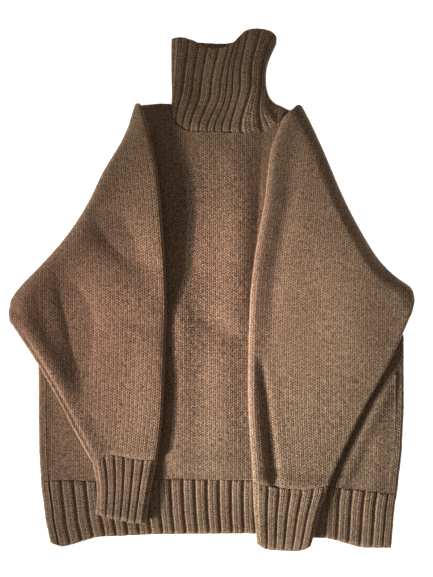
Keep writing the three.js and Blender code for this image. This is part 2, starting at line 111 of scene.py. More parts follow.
# Four lamps make the window's light, and two narrow ones warm and brighten the middle of the sweater.
for bearing, height, wide, aim, power, colour, soft in (
        (203, 17, 10.6, (0.18, 0.0, 0), 1670, (1.0, 0.93, 0.79), 0.17),
        (207, 20.5, 10.6, (0.24, -0.19, 0), 1810, (1.0, 1.0, 0.98), 0.17),
        (205, 24, 10.6, (0.18, 0.0, 0), 1560, (1.0, 0.93, 0.79), 0.17),
        (208, 28, 10.6, (0.24, -0.19, 0), 1490, (1.0, 1.0, 0.98), 0.17),
        (206, 22, 4.4, (-0.01, -0.03, 0), 4300, (1.0, 0.46, 0.48), 0.1),
        (206, 22, 4.9, (0.0, -0.22, 0), 3000, (1.0, 0.91, 0.91), 0.1)):
    window = lamp("SPOT", "window", aim, bearing, height, WINDOW_FAR, power, colour,
                  spot_size=math.radians(wide), spot_blend=1, shadow_soft_size=soft)
    window.scale.y = WINDOW_SHAPE * math.sin(math.radians(height))
over_floor = lamp("AREA", "over_floor", aim=(0, 0, 0), bearing=90, height=90, far=3.2, power=260,
                  colour=(1, 1, 1), size=4.0)
lit_floor = bpy.data.collections.new("lit_floor")
lit_floor.objects.link(floor)
over_floor.light_linking.receiver_collection = lit_floor
world = bpy.data.worlds.new("room")
world.use_nodes = True
world.node_tree.nodes["Background"].inputs["Color"].default_value = (1.0, 0.84, 0.74, 1)
world.node_tree.nodes["Background"].inputs["Strength"].default_value = 0.24
bpy.context.scene.world = world
bpy.context.scene.view_settings.view_transform = "Standard"

# ------------------------------------------------------------------------------------------
# The back. It is knitted in one piece from bulky wool, in stocking stitch, and lies on the
# floor. It is a little wider than the front, so it wraps round both sides to the side seams.
# ------------------------------------------------------------------------------------------
MM = 0.001
WALL = 5.0  # plain knit, two yarns thick, in millimetres as all sizes of the knitting
STITCH = np.array([6.6, 4.1])  # one stitch, across a wale and along it
RELIEF = 1.7  # from the valley between two wales to the crown of a stitch
SIDE_AIR, YOKE_AIR, PUFFED = 2.0, 1.0, 3.7  # air inside at the sides, inside the yoke, and at most
AIR_AT_HEM = 0.55  # share of the most air that there is at the hem's edge
SEAM_INSET = 13.0  # the back wraps round to the front by this much
HEM_GAP = 0.8  # between stocking stitch and the ribs below it
UNDERARM_Y = -72.0
BODY_SIDES = np.array([  # height, left side, right side
    (-412, -258, 288), (-360, -268, 292), (-310, -274, 299), (-255, -277, 305), (-190, -278, 308), (-72, -278, 308)])
RAGLAN_LEFT = [(-265, -72), (-208, 34), (-138, 148), (-98, 238), (-87, 280), (-82, 300)]
RAGLAN_RIGHT = [(295, -72), (236, 44), (172, 160), (136, 248), (126, 289)]
NECK_BACK = [(-82, 300), (-20, 297), (60, 294), (126, 289)]
HEM_LINES = np.array([  # across, the hem's edge, the start of its ribs
    (-262, -404, -306), (-240, -411, -305), (-178, -395, -306), (-82, -391, -302), (62, -390, -304),
    (180, -397, -314), (245, -413, -321), (289, -413, -326)])
# The knitting is drawn from the middle of the chest, which lies here in the frame.
CHEST = np.array([
    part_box("body_back")[0].x / MM + 278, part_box("body_back")[1].y / MM - 300, cad_box[0].z / MM])


def ease(share):
    t = np.clip(share, 0, 1)
    return t * t * (3 - 2 * t)


def mix(a, b, share):
    return a + (b - a) * share


def read(table, at, column):
    """One column of a table, read smoothly against its first column."""
    i = np.clip(np.searchsorted(table[:, 0], at), 1, len(table) - 1)
    low, high = table[i - 1], table[i]
    share = np.clip((at - low[..., 0]) / (high[..., 0] - low[..., 0]), 0, 1)
    return mix(low[..., column], high[..., column], (share + ease(share)) / 2)


def smooth_line(points, fine=30):
    """Evenly readable points on a smooth line through some points."""
    p = np.array(points, float)
    p = np.vstack([2 * p[0] - p[1], p, 2 * p[-1] - p[-2]])
    knots = np.concatenate([[0], np.cumsum(np.linalg.norm(np.diff(p, axis=0), axis=1) ** 0.5)])
    out = []
    for i in range(1, len(p) - 2):
        t = np.linspace(knots[i], knots[i + 1], fine, endpoint=False)[:, None]
        k0, k1, k2, k3 = knots[i - 1:i + 3]
        a1 = (k1 - t) / (k1 - k0) * p[i - 1] + (t - k0) / (k1 - k0) * p[i]
        a2 = (k2 - t) / (k2 - k1) * p[i] + (t - k1) / (k2 - k1) * p[i + 1]
        a3 = (k3 - t) / (k3 - k2) * p[i + 1] + (t - k2) / (k3 - k2) * p[i + 2]
        b1 = (k2 - t) / (k2 - k0) * a1 + (t - k0) / (k2 - k0) * a2
        b2 = (k3 - t) / (k3 - k1) * a2 + (t - k1) / (k3 - k1) * a3
        out.append((k2 - t) / (k2 - k1) * b1 + (t - k1) / (k2 - k1) * b2)
    return np.vstack(out + [p[-2:-1]])


def along(line, share):
    """Places at shares of a line's length."""
    far = np.concatenate([[0], np.cumsum(np.linalg.norm(np.diff(line, axis=0), axis=1))])
    at = np.clip(share, 0, 1) * far[-1]
    return np.stack([np.interp(at, far, line[:, 0]), np.interp(at, far, line[:, 1])], -1)


def stretched(base, top, left, right, u, v):
    """Places on a sheet between four lines: base and top run across it, left and right run up it."""
    v = np.asarray(v, float)[..., None]
    u_ = np.asarray(u, float)[..., None]
    across = mix(along(base, u), along(top, u), v)
    up = mix(along(left, v[..., 0]), along(right, v[..., 0]), u_)
    flat = mix(mix(base[0], base[-1], u_), mix(top[0], top[-1], u_), v)
    return across + up - flat


raglan_left, raglan_right = smooth_line(RAGLAN_LEFT), smooth_line(RAGLAN_RIGHT)


def front_sides(y):
    """Where the front ends at its left and right: the side seams, and above them the raglan seams."""
    ends = []
    for column, inset, raglan in ((1, SEAM_INSET, raglan_left), (2, -SEAM_INSET, raglan_right)):
        side = read(BODY_SIDES, y, column) + inset
        ends.append(np.where(y <= UNDERARM_Y, side, np.interp(y, raglan[:, 1], raglan[:, 0])))
    return ends


def body_air(x, y):
    """Air between back and front where nothing sinks or rises."""
    left, right = front_sides(y)
    at_seams = mix(SIDE_AIR, YOKE_AIR, ease((y - UNDERARM_Y + 40) / 60))
    in_middle = PUFFED * mix(AIR_AT_HEM, 1, ease((y - read(HEM_LINES, x, 1)) / 150))
    return mix(at_seams, in_middle, ease(np.minimum(x - left, right - x) / 80))


class Knitting:
    """The points, stitch places and faces of one piece, in millimetres from the chest."""

    def __init__(self):
        self.points, self.stitches, self.faces, self.count = [], [], [], 0

    def add(self, points, stitches=None):
        """Takes in points, and gives back their numbers. A point with no stitch place gets its own from above."""
        points = np.asarray(points, float)
        if stitches is None:
            stitches = points[..., :2] / STITCH
        ids = self.count + np.arange(points[..., 0].size).reshape(points.shape[:-1])
        self.points.append(points.reshape(-1, 3))
        self.stitches.append(np.asarray(stitches, float).reshape(-1, 2))
        self.count += ids.size
        return ids

    def weave(self, ids, keep):
        """Faces between the rows of a grid of points."""
        quads = np.stack([ids[:-1, :-1], ids[:-1, 1:], ids[1:, 1:], ids[1:, :-1]], -1)
        self.faces += quads[keep].tolist()

    def zip(self, one, other, closed=False):
        """Triangles between two lines of points that run the same way, with any number of points in each."""
        points = np.vstack(self.points)
        one, other = list(one), list(other)
        if closed:
            one, other = one + one[:1], other + other[:1]
        reach = []
        for line in (one, other):
            far = np.concatenate([[0], np.cumsum(np.linalg.norm(np.diff(points[line], axis=0), axis=1))])
            reach.append(far / max(far[-1], 1e-9))
        i = j = 0
        while i < len(one) - 1 or j < len(other) - 1:
            if j == len(other) - 1 or (i < len(one) - 1 and reach[0][i + 1] <= reach[1][j + 1]):
                self.faces.append([one[i], one[i + 1], other[j]])
                i += 1
            else:
                self.faces.append([one[i], other[j + 1], other[j]])
                j += 1

    def wall(self, outer, inner, stitches, tube=False, keep=None):
        """A closed wall between two grids of points with the same rows and columns. keep marks its cells."""
        a, b = self.add(outer, stitches), self.add(inner, stitches)
        rows, columns = a.shape
        keep = np.ones((rows - 1, columns - (not tube)), bool) if keep is None else keep
        if tube:
            a, b = np.hstack([a, a[:, :1]]), np.hstack([b, b[:, :1]])
        self.weave(a, keep)
        self.weave(b[:, ::-1], keep[:, ::-1])
        held = np.pad(keep, 1)
        if tube:
            held[:, 0], held[:, -1] = True, True
        for side, (row, column), (row_to, column_to) in (
                (held[:-2, 1:-1], (0, 0), (0, 1)), (held[2:, 1:-1], (1, 0), (1, 1)),
                (held[1:-1, :-2], (0, 0), (1, 0)), (held[1:-1, 2:], (0, 1), (1, 1))):
            i, j = np.nonzero(keep & ~side)
            start, end = (i + row, j + column), (i + row_to, j + column_to)
            self.faces += np.stack([a[start], a[end], b[end], b[start]], -1).tolist()

    def piece(self, name, material):
        """Makes the Blender object, smooth and facing outwards, puts it in the node's place and hides the node's own
        part."""
        mesh = bpy.data.meshes.new(name)
        points = (np.vstack(self.points) + CHEST) * MM
        mesh.from_pydata(points.tolist(), [], self.faces)
        work = bmesh.new()
        work.from_mesh(mesh)
        places = np.vstack(self.stitches)
        layer = work.loops.layers.uv.new("stitches")
        for face in work.faces:
            face.smooth = True
            for corner in face.loops:
                corner[layer].uv = places[corner.vert.index]
        loose = [v for v in work.verts if not v.link_faces]
        bmesh.ops.delete(work, geom=loose, context="VERTS")
        bmesh.ops.recalc_face_normals(work, faces=work.faces)
        if work.calc_volume(signed=True) < 0:
            bmesh.ops.reverse_faces(work, faces=work.faces)
        work.to_mesh(mesh)
        work.free()
        made = bpy.data.objects.new(name + "_knit", mesh)
        bpy.context.collection.objects.link(made)
        made.data.materials.append(material)
        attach(made, "root")
        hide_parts(name)


LEG_RADIUS = 0.19  # a yarn's, in stitches


def wool(name, light=(0.350, 0.244, 0.160), dark=(0.074, 0.047, 0.031)):
    """Bulky wool yarn: two legs to each stitch, a soft twist, loose hairs, uneven dye, and painted shade in the
    valleys between the legs.
    """
    material = bpy.data.materials.new(name)
    material.use_nodes = True
    nodes, links = material.node_tree.nodes, material.node_tree.links
    shader = nodes["Principled BSDF"]

    def node(kind, **settings):
        made = nodes.new("ShaderNode" + kind)
        for key, value in settings.items():
            setattr(made, key, value)
        return made

    def maths(operation, *values, clamp=False):
        made = node("Math", operation=operation, use_clamp=clamp)
        for socket, value in zip(made.inputs, values):
            if isinstance(value, bpy.types.NodeSocket):
                links.new(value, socket)
            else:
                socket.default_value = value
        return made.outputs[0]

    place = node("SeparateXYZ")
    links.new(node("UVMap", uv_map="stitches").outputs["UV"], place.inputs[0])
    wale, course = place.outputs["X"], place.outputs["Y"]
    from_middle = maths("ABSOLUTE", maths("SUBTRACT", maths("FRACT", wale), 0.5))
    up = maths("FRACT", course)
    leg_at = maths("ADD", maths("MULTIPLY", up, 0.30), 0.08)  # a leg leans outwards on its way up

    def leg(at):
        far = maths("DIVIDE", maths("SUBTRACT", from_middle, at), LEG_RADIUS)
        return maths("SQRT", maths("SUBTRACT", 1.0, maths("MULTIPLY", far, far), clamp=True))

    fading = maths("SUBTRACT", 1.0, maths("MULTIPLY", up, 2.5), clamp=True)
    leg_below = maths("MULTIPLY", leg(maths("ADD", leg_at, 0.30)), fading)
    legs = maths("MAXIMUM", leg(leg_at), leg_below)
    twist = maths("SINE", maths("ADD", maths("MULTIPLY", up, 19.0), maths("MULTIPLY", from_middle, 34.0)))

    def noise(scale, detail, roughness=0.6):
        made = node("TexNoise")
        made.inputs["Scale"].default_value = scale
        made.inputs["Detail"].default_value = detail
        made.inputs["Roughness"].default_value = roughness
        links.new(node("TexCoord").outputs["Object"], made.inputs["Vector"])
        return made.outputs["Fac"]

    hairs, tufts, dye = noise(1100, 3), noise(360, 2), noise(14, 3)
    height = legs
    for part, share in ((twist, 0.07), (hairs, 0.5), (tufts, 0.5)):
        height = maths("ADD", height, maths("MULTIPLY", part, share))
    bump = node("Bump")
    bump.inputs["Strength"].default_value = 0.75
    bump.inputs["Distance"].default_value = 0.0011
    links.new(height, bump.inputs["Height"])
    links.new(bump.outputs["Normal"], shader.inputs["Normal"])

    # The colour is painted darker in the valleys between the legs, as shade, and also varies at random with the dye,
    # tufts and hairs.
    valley_shade_and_tone = maths("MULTIPLY", legs, 0.75)
    for part, share in ((dye, 0.5), (tufts, 3.2), (hairs, 1.8)):
        valley_shade_and_tone = maths("ADD", valley_shade_and_tone, maths("MULTIPLY", maths("SUBTRACT", part, 0.5), share))
    valley_shade_and_tone = maths("ADD", valley_shade_and_tone, 0.0, clamp=True)
    colour = node("Mix", data_type="RGBA")
    colour.inputs["A"].default_value = (*dark, 1)
    colour.inputs["B"].default_value = (*light, 1)
    links.new(valley_shade_and_tone, colour.inputs["Factor"])
    links.new(colour.outputs["Result"], shader.inputs["Base Color"])
    shader.inputs["Roughness"].default_value = 0.95
    shader.inputs["Specular IOR Level"].default_value = 0.15
    shader.inputs["Sheen Weight"].default_value = 0.25
    shader.inputs["Sheen Roughness"].default_value = 0.6
    shader.inputs["Sheen Tint"].default_value = (0.75, 0.6, 0.5, 1)
    return material


# How high the yarn stands at 4 places across a stitch and 2 along it, from the valley beside the wale.
LEGS = np.array([[0.2, 1.0, 0.66, 1.0], [0.0, 0.62, 0.08, 0.62]])
# How far the yarn leans towards the middle of its wale at the same places, in stitches.
LEAN = np.array([[0, 0.05, 0, -0.05], [0, -0.03, 0, 0.03]])
MEAN_HEIGHT = 0.62  # of LEGS, where the cloth's own face lies
uneven = np.random.default_rng(11)  # no two stitches are pulled equally tight


def yarn(columns, rows):
    """Relief and sideways lean of stocking stitch at whole numbers of quarter wales and half courses."""
    columns, rows = np.broadcast_arrays(columns, rows)
    stitch = 0.78 + 0.44 * uneven.random((int(rows.max()) // 2 + 2, int(columns.max()) // 4 + 2))
    high = LEGS[rows % 2, columns % 4] * stitch[rows // 2, columns // 4]
    return RELIEF * (high - MEAN_HEIGHT), LEAN[rows % 2, columns % 4] * STITCH[0]


WRAP_COLUMNS = 17  # points across a wrap, a quarter of a wale apart
FLAT_COLUMNS = 17  # points across the plain part on the floor


def wrapped(far, radius):
    """A line that runs from the side seam over the front, round the side and back under. Gives how far in from
    the side, how high, and which way is out."""
    top = SEAM_INSET - radius
    angle = np.clip((far - top) / radius, 0, math.pi)
    under = np.maximum(0, far - top - math.pi * radius)
    inwards = np.where(far < top, SEAM_INSET - far, radius * (1 - np.sin(angle)) + under)
    return inwards, radius * (1 + np.cos(angle)), -np.sin(angle), np.cos(angle)


def back_wall(knitting, low, high, courses, upper=None):
    """The back from one line up to another, with its wraps. upper gives more rows of the flat part alone."""
    quarter = STITCH[0] / 4
    steps = np.arange(WRAP_COLUMNS)
    rows = np.arange(courses * 2 + 1)[:, None]
    share = rows / rows[-1]
    outer, inner, stitches = [], [], []
    for column, side in ((1, 1), (2, -1)):
        edge_y = mix(low(BODY_SIDES[2, column]), high(BODY_SIDES[2, column]), share)
        edge = read(BODY_SIDES, edge_y, column)
        radius = WALL + body_air(edge + side * SEAM_INSET, edge_y) / 2
        far = steps * quarter
        relief, _ = yarn(steps[None, :], rows)
        inwards, height, out_in, out_up = wrapped(far[None, :], radius)
        relief = mix(0.6, relief, np.minimum(1, steps / 2)) * ease((out_up + 0.7) / 0.9)
        x = edge + side * (inwards + relief * out_in)
        y = mix(low(x), high(x), share)
        outer.append(np.stack([x, y, height + relief * out_up], -1))
        inner_in, inner_up = inwards - WALL * out_in, height - WALL * out_up
        inner.append(np.stack([edge + side * inner_in, y, inner_up], -1))
        stitches.append(np.stack([steps + 0 * rows, 2 * rows + 0 * steps], -1) / 4)
    flat = np.linspace(0, 1, FLAT_COLUMNS)
    ends = [part[:, -1, 0] for part in outer]
    x = mix(ends[0][:, None] + 2, ends[1][:, None] - 2, flat)
    y = mix(low(x), high(x), share)
    outer.insert(1, np.stack([x, y, 0 * x], -1))
    inner.insert(1, np.stack([x, y, 0 * x + WALL], -1))
    stitches.insert(1, np.stack([x, y], -1) / STITCH)
    for grids in (outer, inner, stitches):
        grids[2] = grids[2][:, ::-1]
    outer, inner, stitches = (np.hstack(grids) for grids in (outer, inner, stitches))
    keep = np.ones((len(outer) - 1, outer.shape[1] - 1), bool)
    if upper is not None:
        plan = np.pad(upper, ((0, 0), (WRAP_COLUMNS, WRAP_COLUMNS), (0, 0)), mode="edge")
        flat_up = np.concatenate([plan, 0 * plan[..., :1]], -1)
        outer = np.vstack([outer, flat_up])
        inner = np.vstack([inner, flat_up + (0, 0, WALL)])
        stitches = np.vstack([stitches, plan / STITCH])
        spans = np.zeros((len(upper), keep.shape[1]), bool)
        spans[:, WRAP_COLUMNS:-WRAP_COLUMNS] = True
        keep = np.vstack([keep, spans])
    knitting.wall(outer, inner, stitches, keep=keep)


def rib_start(x):
    return read(HEM_LINES, x, 2)


def hem_edge(x):
    return read(HEM_LINES, x, 1)


back = Knitting()
underarms = np.array([(-265.0, UNDERARM_Y), (295.0, UNDERARM_Y)])
yoke = stretched(underarms, smooth_line(NECK_BACK), raglan_left, raglan_right,
                 np.linspace(0, 1, FLAT_COLUMNS)[None, :], np.linspace(0.02, 1, 48)[:, None])
back_wall(back, lambda x: rib_start(x) + HEM_GAP, lambda x: UNDERARM_Y + 0 * x, courses=56, upper=yoke)
body_wool = wool("wool_body")
back.piece("body_back", body_wool)

# ------------------------------------------------------------------------------------------
# The back hem. It is 2x2 ribbing in the same wool, knitted on below the back and cast off at
# its edge. It wraps round the sides with the back.
# ------------------------------------------------------------------------------------------
back_hem = Knitting()
back_wall(back_hem, hem_edge, rib_start, courses=24)
# The ribbing uses a lighter, slightly greyer copy of the body's wool: the extra lightness is painted light, making up
# for the shade that falls between the ribs.
lightened_rib_wool = wool("wool_rib_lightened", light=(0.400, 0.285, 0.190))
back_hem.piece("hem_back", lightened_rib_wool)

# ------------------------------------------------------------------------------------------
# The front. It is stocking stitch like the back, with a lower neckline. It lies on the back
# and is sewn to it at the side seams. It sinks beside the sleeves and swells in the middle.
# ------------------------------------------------------------------------------------------
NECK_FRONT = [(-82, 300), (-68, 291), (-61, 271), (-44, 257), (0, 253), (82, 253), (106, 268), (126, 289)]
LEAST_AIR = 0.6
SIDE_GAP = 0.2  # between front and back at the side seams
# The folds of the front: points along each, its half width, and how far it rises or sinks. The one marked as
# lying beside the sleeves doesn't lift them.
FRONT_FOLDS = [
    dict(name="hollow beside the left sleeve", along=[(-60, 250), (-54, 150), (-56, 60), (-66, 10)], width=30,
         rise=-8),
    dict(name="ridge of the chest", along=[(40, 230), (42, 110), (34, -30)], width=28, rise=5),
    dict(name="hollow beside the right sleeve", along=[(88, 250), (84, 130), (76, 30), (68, -70)], width=19, rise=-6),
    dict(name="swell of the belly", along=[(-58, 6), (-54, -80), (-53, -200), (-58, -296)], width=30, rise=9,
         beside=True),
    dict(name="middle of the belly", along=[(14, -80), (14, -160), (12, -290)], width=44, rise=9),
    dict(name="slack across the belly", along=[(-20, -38), (10, -60), (42, -78)], width=17, rise=-2.4),
    dict(name="slack over the hem", along=[(-60, -280), (0, -276), (50, -282)], width=14, rise=1.6),
    dict(name="swell beside the right sleeve", along=[(290, -140), (254, -206), (222, -273), (196, -330)], width=13,
         rise=7),
    dict(name="swell along the right side", along=[(276, -150), (268, -220), (260, -290), (258, -370)], width=19,
         rise=3),
]


def fold_height(fold, x, y):
    """How far one fold lifts the cloth: fully along its line, less beside it and towards its ends."""
    line = fold["along"]
    most = 0
    for i, ((ax, ay), (bx, by)) in enumerate(zip(line, line[1:])):
        share = np.clip(((x - ax) * (bx - ax) + (y - ay) * (by - ay)) / ((bx - ax) ** 2 + (by - ay) ** 2), 0, 1)
        far = np.hypot(x - mix(ax, bx, share), y - mix(ay, by, share))
        ends = np.sin(math.pi * (i + share + 0.35) / (len(line) - 0.3)) ** 0.7
        most = np.maximum(most, np.exp(-(far / fold["width"]) ** 2) * ends)
    return most * fold["rise"]


def fold_heights(folds, x, y):
    return sum(fold_height(fold, x, y) for fold in folds)


def front_top(x, y):
    """How high the front's outer face lies."""
    return 2 * WALL + np.maximum(body_air(x, y) + fold_heights(FRONT_FOLDS, x, y), LEAST_AIR)


def distance(points, line):
    """How far each point is from a line."""
    best = np.full(len(points), 1e9)
    for a, b in zip(line[:-1], line[1:]):
        way = b - a
        share = np.clip(((points - a) @ way) / max(way @ way, 1e-9), 0, 1)
        best = np.minimum(best, np.linalg.norm(points - a - share[:, None] * way, axis=1))
    return best


SETTLING = 24  # rounds that bring the points on the outline to rest on it


def cover(wale_x, wales, courses, low, high, left, right):
    """Covers a shape with upright wales. wale_x(wale, y) is where a wale runs, and low, high, left and right are
    the shape's outline. Gives back the points' places in plan and in the stitches, the faces, the outline's
    points in order, each point's column and row, and whether it lies inside."""
    column = np.arange(wales[0] * 4, wales[1] * 4 + 1)[None, :]
    row = np.arange(courses[0] * 2, courses[1] * 2 + 1)[:, None]
    y = row * STITCH[1] / 2 + 0.0 * column
    for _ in range(SETTLING):
        x = np.clip(wale_x(column / 4, y), left(y), right(y))
        y = mix(y, np.clip(row * STITCH[1] / 2, low(x), high(x)), 0.5)
    free = (np.abs(x - wale_x(column / 4, y)) < 0.01) & (np.abs(y - row * STITCH[1] / 2) < 0.01)
    places = np.stack([x, y], -1)
    _, first, ids = np.unique(np.round(places.reshape(-1, 2), 2), axis=0, return_index=True, return_inverse=True)
    ids = ids.reshape(x.shape)
    quads = np.stack([ids[:-1, :-1], ids[:-1, 1:], ids[1:, 1:], ids[1:, :-1]], -1).reshape(-1, 4)
    flat = places.reshape(-1, 2)[first]
    corners = flat[quads]
    area = 0.5 * ((corners[:, 2, 0] - corners[:, 0, 0]) * (corners[:, 3, 1] - corners[:, 1, 1])
                  - (corners[:, 3, 0] - corners[:, 1, 0]) * (corners[:, 2, 1] - corners[:, 0, 1]))
    faces = []
    for quad in quads[np.abs(area) > 0.02].tolist():
        face = list(dict.fromkeys(quad))
        if len(face) > 2:
            faces.append(face)
    used = np.unique([corner for face in faces for corner in face])
    number = np.full(len(flat), -1)
    number[used] = np.arange(len(used))
    faces = [[int(number[corner]) for corner in face] for face in faces]
    edges = {}
    for face in faces:
        for a, b in zip(face, face[1:] + face[:1]):
            if (b, a) in edges:
                del edges[(b, a)]
            else:
                edges[(a, b)] = True
    after = {a: b for a, b in edges}
    loop = [next(iter(after))]
    while after[loop[-1]] != loop[0] and len(loop) <= len(after):
        loop.append(after[loop[-1]])
    assert len(loop) == len(edges), (len(loop), len(edges))
    index = first[used]
    stitches = np.stack([(column / 4 + 0 * y).reshape(-1)[index], y.reshape(-1)[index] / STITCH[1]], -1)
    column_of = (column + 0 * row).reshape(-1)[index]
    row_of = (row + 0 * column).reshape(-1)[index]
    inside = free.reshape(-1)[index]
    inside[loop] = False
    return flat[used], stitches, faces, loop, column_of - wales[0] * 4, row_of - courses[0] * 2, inside


def line_inside(knitting, ids, loop, inner_height, spare):
    """Closes a sheet of knitting with its inner face: a rim at the outline, and a coarse face inside."""
    points = np.vstack(knitting.points)
    plan = points[ids][loop[::3], :2]
    ring = knitting.add(np.column_stack([plan, inner_height(plan)]))
    spots = points[ids][spare, :2]
    inside = knitting.add(np.column_stack([spots, inner_height(spots)]))
    numbers = np.concatenate([ring, inside])
    edges = [(i, (i + 1) % len(ring)) for i in range(len(ring))]
    places = [Vector(p) for p in np.vstack([plan, spots]).tolist()]
    _, _, faces, whose, _, _ = delaunay_2d_cdt(places, edges, [], 1, 1e-6)
    for face in faces:
        knitting.faces.append([int(numbers[whose[corner][0]]) for corner in face])
    knitting.zip(ids[loop], ring, closed=True)


upper_edge = np.vstack([raglan_left, smooth_line(NECK_FRONT)[1:-1], raglan_right[::-1]])
upper_edge = upper_edge[np.concatenate([[True], np.diff(upper_edge[:, 0]) > 0.01])]
front = Knitting()
plan, stitches, faces, loop, columns, rows, inside = cover(
    lambda wale, y: wale * STITCH[0] + 0 * y, wales=(-42, 46), courses=(-80, 74),
    low=lambda x: rib_start(x) + HEM_GAP,
    high=lambda x: np.interp(x, upper_edge[:, 0], upper_edge[:, 1]),
    left=lambda y: read(BODY_SIDES, np.minimum(y, UNDERARM_Y), 1) + SEAM_INSET + SIDE_GAP,
    right=lambda y: read(BODY_SIDES, np.minimum(y, UNDERARM_Y), 2) - SEAM_INSET - SIDE_GAP)
to_seam = distance(plan, plan[loop[::5] + loop[:1]])
relief, lean = yarn(columns, rows)
relief = np.where(inside, relief * ease((to_seam + 2) / 4), 0)
lean = np.where(inside, lean, 0)
rounded = 1 - np.sqrt(1 - (1 - np.minimum(1, to_seam / 5)) ** 2)
height = front_top(plan[:, 0], plan[:, 1]) + 0.6 * rounded + relief
ids = front.add(np.column_stack([plan[:, 0] + lean, plan[:, 1], height]), stitches)
front.faces += [[int(ids[corner]) for corner in face] for face in faces]
spare = np.nonzero((columns % 16 == 0) & (rows % 12 == 0) & (to_seam > 8))[0]
line_inside(front, ids, loop, lambda p: front_top(p[:, 0], p[:, 1]) - WALL, spare)
front.piece("body_front", body_wool)

# ------------------------------------------------------------------------------------------
# The front hem. It is the same 2x2 ribbing as the back's, twenty-eight ribs wide, knitted on
# below the front and sewn to the back hem at the sides. Each rib is two wales of plain
# stitches that stand over a groove of purl stitches.
# ------------------------------------------------------------------------------------------
HEM_RIBS, HEM_ROWS = 28, 42
HEM_SIDE_GAP = 0.4  # between the two hems at the sides
GROOVED = 3.2  # the wall in a groove
RIB = 3.8  # a rib's crown over its groove
ON_RIB, LEAN_ON_RIB = 1.4, 0.7  # how far the stitches stand out and lean on a rib, next to plain knitting
# Across one rib from groove to groove: the place, and how high the rib stands there.
ACROSS_RIB = np.array([
    (0, 0), (0.055, 0.02), (0.11, 0.6), (0.2, 0.93), (0.3, 1), (0.4, 0.97), (0.5, 0.86), (0.6, 0.97),
    (0.7, 1), (0.8, 0.93), (0.89, 0.6), (0.945, 0.02)])


def ribbing(ribs, rows, places=None):
    """Ribs with their stitches. Gives the share across, how high a rib stands, the yarn's relief and lean, and
    the stitch places. places are the shares across at which grooves lie, where they aren't evenly spaced."""
    steps = len(ACROSS_RIB)
    k = np.arange(ribs * steps + 1)
    rib, step = k // steps, k % steps
    grooves = np.linspace(0, 1, ribs + 1) if places is None else np.array(places)
    share = np.interp(rib + ACROSS_RIB[step, 0], np.arange(ribs + 1), grooves)
    row = np.arange(rows + 1)[:, None]
    relief, lean = yarn((k + 2)[None, :], row)
    plain = (step >= 2) & (step <= 10)
    purl = 0.25 * (row % 2) - 0.2
    relief = np.where(plain, relief * ON_RIB, purl)
    stitches = np.stack([3 * rib + (step - 2) / 4 + 0.0 * row, row / 2 + 0.0 * k], -1)
    return share, ACROSS_RIB[step, 1], relief, np.where(plain, lean * LEAN_ON_RIB, 0), stitches


share, crown, relief, lean, stitches = ribbing(HEM_RIBS, HEM_ROWS)
up = np.linspace(0, 1, HEM_ROWS + 1)[:, None]
ends = []
for column, inset in ((1, SEAM_INSET + HEM_SIDE_GAP), (2, -SEAM_INSET - HEM_SIDE_GAP)):
    foot, top = hem_edge(BODY_SIDES[0, column]), rib_start(BODY_SIDES[2, column])
    ends.append(read(BODY_SIDES, mix(foot, top, up), column) + inset)
x = mix(ends[0], ends[1], share[None, :])
y = mix(hem_edge(x), rib_start(x), up)
# The ribs grow out of the cast-off edge, and sink a little where they meet the front.
from_edge = np.minimum(ease(up * 14), mix(0.75, 1, ease((1 - up) * 20)))
under = WALL + body_air(x, y)
outer = under + GROOVED + (RIB * crown + relief) * mix(0.35, 1, from_edge)
front_hem = Knitting()
front_hem.wall(np.stack([x + lean, y, outer], -1), np.stack([x, y, under], -1), stitches)
front_hem.piece("hem_front", lightened_rib_wool)

# ------------------------------------------------------------------------------------------
# The two sleeves. Each is a tube of stocking stitch, sewn into its raglan seam. It turns over
# a fold beside the body and comes to lie on the front, so the back of the arm is on top. Its
# underarm seam runs down the outer edge, from the elbow to the wrist.
# ------------------------------------------------------------------------------------------
PIVOT = 0.6  # a fold turns about a line this far over the sleeve's upper layer
FOLD_HEIGHT = 2 * WALL + YOKE_AIR + PIVOT
LIE = 2 * PIVOT
TURN = np.radians([45, 90, 135])  # points round the edge of a flattened tube
RAGLAN_GAP, WRIST_GAP = 0.4, 0.5  # between a sleeve and the body, and between it and its cuff
SEAM_ROLL, FOLD_ROLL = 6.2, 11.6  # how far from the seam and from the fold the cloth begins to turn down
WRIST_DIP, WRIST_DIP_WIDTH = 1.6, 3.5  # the cloth draws in where the cuff begins
